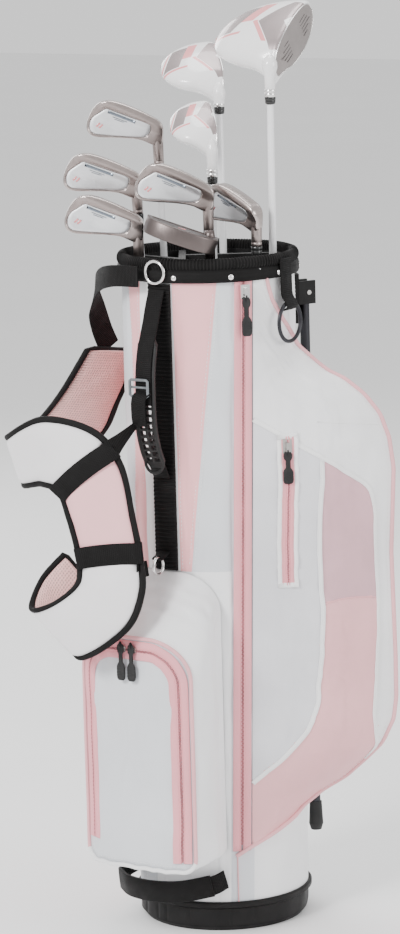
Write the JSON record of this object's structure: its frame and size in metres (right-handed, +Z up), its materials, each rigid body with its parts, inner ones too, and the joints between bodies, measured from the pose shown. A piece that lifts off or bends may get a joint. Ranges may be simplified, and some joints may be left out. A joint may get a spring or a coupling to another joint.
{
  "type": "golf club set",
  "caption": "Stand bag with stuffed pockets, padded sling strap and folding legs, holding woods, irons and a mallet putter head up.",
  "frame": {"origin": "centre of the bag's base on the floor, on the bag tube's axis", "axes": "+Z up along the bag; -Y is the spine side with the strap and ball pocket; +Y is the stand leg side; +X is the apparel pocket side"},
  "size_m": [0.3872, 0.4061, 1.1847],
  "materials": {
    "white_fabric": "white coated nylon, satin",
    "pink_fabric": "pink coated nylon, satin",
    "strap_fabric": "white padded fabric, matt",
    "pink_tape": "pink zipper tape",
    "black_webbing": "black woven webbing",
    "collar_padding": "black padded rib cloth",
    "moulded_black": "moulded, fine texture",
    "soft_rubber": "moulded, matt",
    "plated_steel": "bright plating",
    "zip_metal": "die-cast, satin",
    "leg_alloy": "anodised tube",
    "rod_steel": "spring wire",
    "club_steel": "cast and satin-blasted",
    "putter_steel": "dark satin",
    "wood_paint": "gloss white and pink lacquer over alloy",
    "shaft_graphite": "white lacquer over graphite",
    "grip_rubber": "textured grip"
  },
  "bodies": {
    "bag": {"bag_tube": "white_fabric", "base_boot": "moulded_black", "top_collar": "collar_padding", "club_divider": "collar_padding", "apparel_pocket": "white_fabric", "ball_pocket": "white_fabric", "spine_webbing": "black_webbing", "carry_handle": "moulded_black", "spine_rings": "plated_steel", "main_zipper_tape": "pink_tape", "small_zipper_tape": "pink_tape", "towel_ring_loop": "black_webbing", "leg_bracket": "moulded_black", "pivot_pins": "plated_steel", "base_handle": "black_webbing"},
    "strap": {"strap_upper_pad": "strap_fabric", "strap_yoke": "pink_fabric", "strap_lower_pad": "strap_fabric", "strap_webbing": "black_webbing"},
    "main_slider": {"main_slider": "zip_metal"},
    "main_pull": {"main_pull": "soft_rubber"},
    "small_slider": {"small_slider": "zip_metal"},
    "small_pull": {"small_pull": "soft_rubber"},
    "ball_pull_left": {"ball_pull_left": "soft_rubber"},
    "ball_pull_right": {"ball_pull_right": "soft_rubber"},
    "towel_ring": {"towel_ring": "moulded_black"},
    "leg_left": {"leg_left": "leg_alloy", "foot_left": "soft_rubber"},
    "leg_right": {"leg_right": "leg_alloy", "foot_right": "soft_rubber"},
    "push_rod": {"push_rod": "rod_steel"},
    "kick_lever": {"kick_lever": "moulded_black"},
    "driver": {"driver_head": "wood_paint", "driver_shaft": "shaft_graphite", "driver_grip": "grip_rubber"},
    "fairway": {"fairway_head": "wood_paint", "fairway_shaft": "shaft_graphite", "fairway_grip": "grip_rubber"},
    "hybrid": {"hybrid_head": "wood_paint", "hybrid_shaft": "shaft_graphite", "hybrid_grip": "grip_rubber"},
    "iron_a": {"iron_a_head": "club_steel", "iron_a_shaft": "shaft_graphite", "iron_a_grip": "grip_rubber"},
    "iron_b": {"iron_b_head": "club_steel", "iron_b_shaft": "shaft_graphite", "iron_b_grip": "grip_rubber"},
    "iron_c": {"iron_c_head": "club_steel", "iron_c_shaft": "shaft_graphite", "iron_c_grip": "grip_rubber"},
    "iron_d": {"iron_d_head": "club_steel", "iron_d_shaft": "shaft_graphite", "iron_d_grip": "grip_rubber"},
    "wedge": {"wedge_head": "club_steel", "wedge_shaft": "shaft_graphite", "wedge_grip": "grip_rubber"},
    "putter": {"putter_head": "putter_steel", "putter_shaft": "shaft_graphite", "putter_grip": "grip_rubber"}
  },
  "joints": [
    {"name": "driver_lift", "type": "slide", "parent": "bag", "child": "driver", "axis": [0.0344, -0.0405, 0.9986], "range_m": [0, 0.86]},
    {"name": "fairway_lift", "type": "slide", "parent": "bag", "child": "fairway", "axis": [-0.0284, 0.039, 0.9988], "range_m": [0, 0.861]},
    {"name": "hybrid_lift", "type": "slide", "parent": "bag", "child": "hybrid", "axis": [0.0124, -0.0016, 0.9999], "range_m": [0, 0.875]},
    {"name": "iron_a_lift", "type": "slide", "parent": "bag", "child": "iron_a", "axis": [-0.0234, -0.0115, 0.9997], "range_m": [0, 0.872]},
    {"name": "iron_b_lift", "type": "slide", "parent": "bag", "child": "iron_b", "axis": [-0.0485, -0.0143, 0.9987], "range_m": [0, 0.876]},
    {"name": "iron_c_lift", "type": "slide", "parent": "bag", "child": "iron_c", "axis": [-0.0235, 0.0012, 0.9997], "range_m": [0, 0.875]},
    {"name": "iron_d_lift", "type": "slide", "parent": "bag", "child": "iron_d", "axis": [0.0098, -0.0104, 0.9999], "range_m": [0, 0.875]},
    {"name": "wedge_lift", "type": "slide", "parent": "bag", "child": "wedge", "axis": [0.017, 0.0001, 0.9999], "range_m": [0, 0.875]},
    {"name": "putter_lift", "type": "slide", "parent": "bag", "child": "putter", "axis": [0.0062, -0.0029, 1], "range_m": [0, 0.875]},
    {"name": "leg_left_swing", "type": "hinge", "parent": "bag", "child": "leg_left", "pos_m": [-0.08498, 0.09438, 0.812], "axis": [0.9063, 0.4226, 0], "range_deg": [0, 30]},
    {"name": "leg_right_swing", "type": "hinge", "parent": "bag", "child": "leg_right", "pos_m": [0.08498, 0.09438, 0.812], "axis": [0.9063, -0.4226, 0], "range_deg": [0, 30]},
    {"name": "push_rod_slide", "type": "slide", "parent": "bag", "child": "push_rod", "axis": [0, 0, 1], "range_m": [0, 0.0305]},
    {"name": "kick_lever_turn", "type": "hinge", "parent": "bag", "child": "kick_lever", "pos_m": [0, 0.038, 0.0046], "axis": [1, 0, 0], "range_deg": [0, 21.2]},
    {"name": "main_slider_slide", "type": "slide", "parent": "bag", "child": "main_slider", "axis": [-0.0182, -0.0229, -0.9996], "range_m": [0, 0.66]},
    {"name": "main_pull_swing", "type": "hinge", "parent": "main_slider", "child": "main_pull", "pos_m": [0.10138, -0.06694, 0.828], "axis": [-0.5502, -0.835, 0], "range_deg": [0, 80]},
    {"name": "small_slider_slide", "type": "slide", "parent": "bag", "child": "small_slider", "axis": [-0.0052, -0.0177, -0.9998], "range_m": [0, 0.155]},
    {"name": "small_pull_swing", "type": "hinge", "parent": "small_slider", "child": "small_pull", "pos_m": [0.13443, -0.03027, 0.628], "axis": [-0.7078, -0.7064, 0], "range_deg": [0, 80]},
    {"name": "ball_pull_left_swing", "type": "hinge", "parent": "bag", "child": "ball_pull_left", "pos_m": [-0.011, -0.20475, 0.396], "axis": [-1, 0, 0], "range_deg": [0, 60]},
    {"name": "ball_pull_right_swing", "type": "hinge", "parent": "bag", "child": "ball_pull_right", "pos_m": [0.005, -0.20475, 0.396], "axis": [-1, 0, 0], "range_deg": [0, 60]},
    {"name": "towel_ring_swing", "type": "hinge", "parent": "bag", "child": "towel_ring", "pos_m": [0.1226, 0, 0.812], "axis": [0, -1, 0], "range_deg": [0, 20]},
    {"name": "strap_swing", "type": "hinge", "parent": "bag", "child": "strap", "pos_m": [0, -0.125, 0.48], "axis": [0, 0, 1], "range_deg": [0, 12]}
  ],
  "couplings": [
    {"joint": "leg_right_swing", "follows": "leg_left_swing", "ratio": 1},
    {"joint": "push_rod_slide", "follows": "leg_left_swing", "m_per_rad": 0.0573},
    {"joint": "kick_lever_turn", "follows": "leg_left_swing", "ratio": 0.7}
  ]
}
